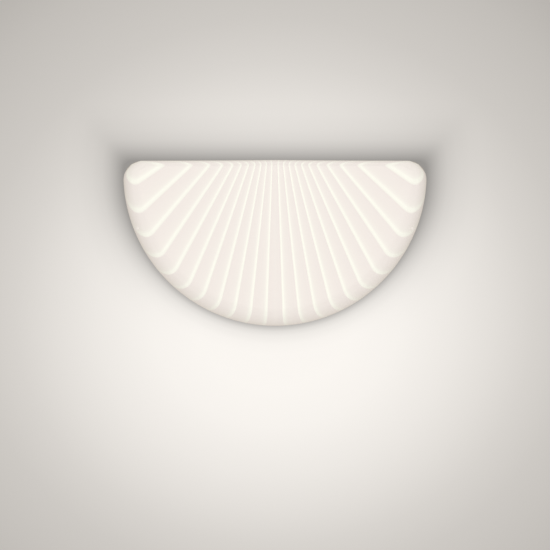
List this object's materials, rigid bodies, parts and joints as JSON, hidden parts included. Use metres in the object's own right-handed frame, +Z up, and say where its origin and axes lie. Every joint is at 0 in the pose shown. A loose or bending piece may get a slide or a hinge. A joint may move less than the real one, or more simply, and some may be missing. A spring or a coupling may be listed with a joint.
{
  "type": "shell wall sconce",
  "caption": "Half-round opal wall light with fanned stepped ribs, floating off the wall on a steel tray with LED board, driver and a pull-off shade.",
  "frame": {"origin": "centre of the wall bracket's hole pattern, on the wall plane", "axes": "+X along the wall to the viewer's right, +Y into the wall, +Z up; the ribbed front faces -Y"},
  "size_m": [0.3996, 0.074, 0.2177],
  "materials": {
    "opal_shade": "satin opal moulding, lit from inside",
    "white_steel": "fine powder coat",
    "reflector_white": "matte high-reflectance white",
    "galvanised_steel": "zinc plated",
    "screw_steel": "zinc plated",
    "spring_steel": "bright spring steel",
    "rivet_aluminium": "plain",
    "tinned_brass": "tinned",
    "black_rubber": "matte",
    "grey_foam": "closed-cell foam",
    "thermal_pad": "soft pad",
    "driver_plastic": "fine grain",
    "terminal_plastic": "plain",
    "clear_grey_plastic": "smoked",
    "lever_plastic": "plain",
    "connector_plastic": "plain",
    "white_board": "white solder mask",
    "led_phosphor": "phosphor window, lit",
    "earth_sleeve": "green and yellow",
    "neutral_sleeve": "blue",
    "live_sleeve": "brown",
    "black_sleeve": "black",
    "red_sleeve": "red"
  },
  "bodies": {
    "fixed_parts": {"wall_bracket": "galvanised_steel", "bracket_posts": "galvanised_steel", "cable_grommet": "black_rubber", "wall_gasket": "grey_foam", "body_tray": "white_steel", "body_screws": "screw_steel", "driver_case": "driver_plastic", "driver_lid": "driver_plastic", "driver_input_block": "terminal_plastic", "driver_output_block": "terminal_plastic", "driver_screws": "screw_steel", "terminal_block": "clear_grey_plastic", "terminal_block_screw": "screw_steel", "lever_pin": "screw_steel", "earth_lug": "tinned_brass", "earth_washer": "screw_steel", "earth_screw": "screw_steel", "earth_lead": "earth_sleeve", "neutral_lead": "neutral_sleeve", "live_lead": "live_sleeve", "board_lead_minus": "black_sleeve", "board_lead_plus": "red_sleeve", "board_lead_grommet": "black_rubber", "thermal_pad": "thermal_pad", "led_board": "white_board", "led_chips": "led_phosphor", "board_connector": "connector_plastic", "board_screws": "screw_steel", "reflector_plate": "reflector_white", "reflector_rivets": "rivet_aluminium", "shade_clips": "spring_steel", "clip_rivets": "rivet_aluminium"},
    "shade": {"shade_shell": "opal_shade"},
    "lever_live": {"lever_live": "lever_plastic"},
    "lever_neutral": {"lever_neutral": "lever_plastic"},
    "lever_earth": {"lever_earth": "lever_plastic"}
  },
  "joints": [
    {"name": "shade_pull", "type": "slide", "parent": "fixed_parts", "child": "shade", "axis": [0, -1, 0], "range_m": [0, 0.12]},
    {"name": "lever_live_turn", "type": "hinge", "parent": "fixed_parts", "child": "lever_live", "pos_m": [0.0416, -0.0165, -0.0528], "axis": [-1, 0, 0], "range_deg": [0, 90]},
    {"name": "lever_neutral_turn", "type": "hinge", "parent": "fixed_parts", "child": "lever_neutral", "pos_m": [0.032, -0.0165, -0.0528], "axis": [-1, 0, 0], "range_deg": [0, 90]},
    {"name": "lever_earth_turn", "type": "hinge", "parent": "fixed_parts", "child": "lever_earth", "pos_m": [0.0224, -0.0165, -0.0528], "axis": [-1, 0, 0], "range_deg": [0, 90]}
  ]
}
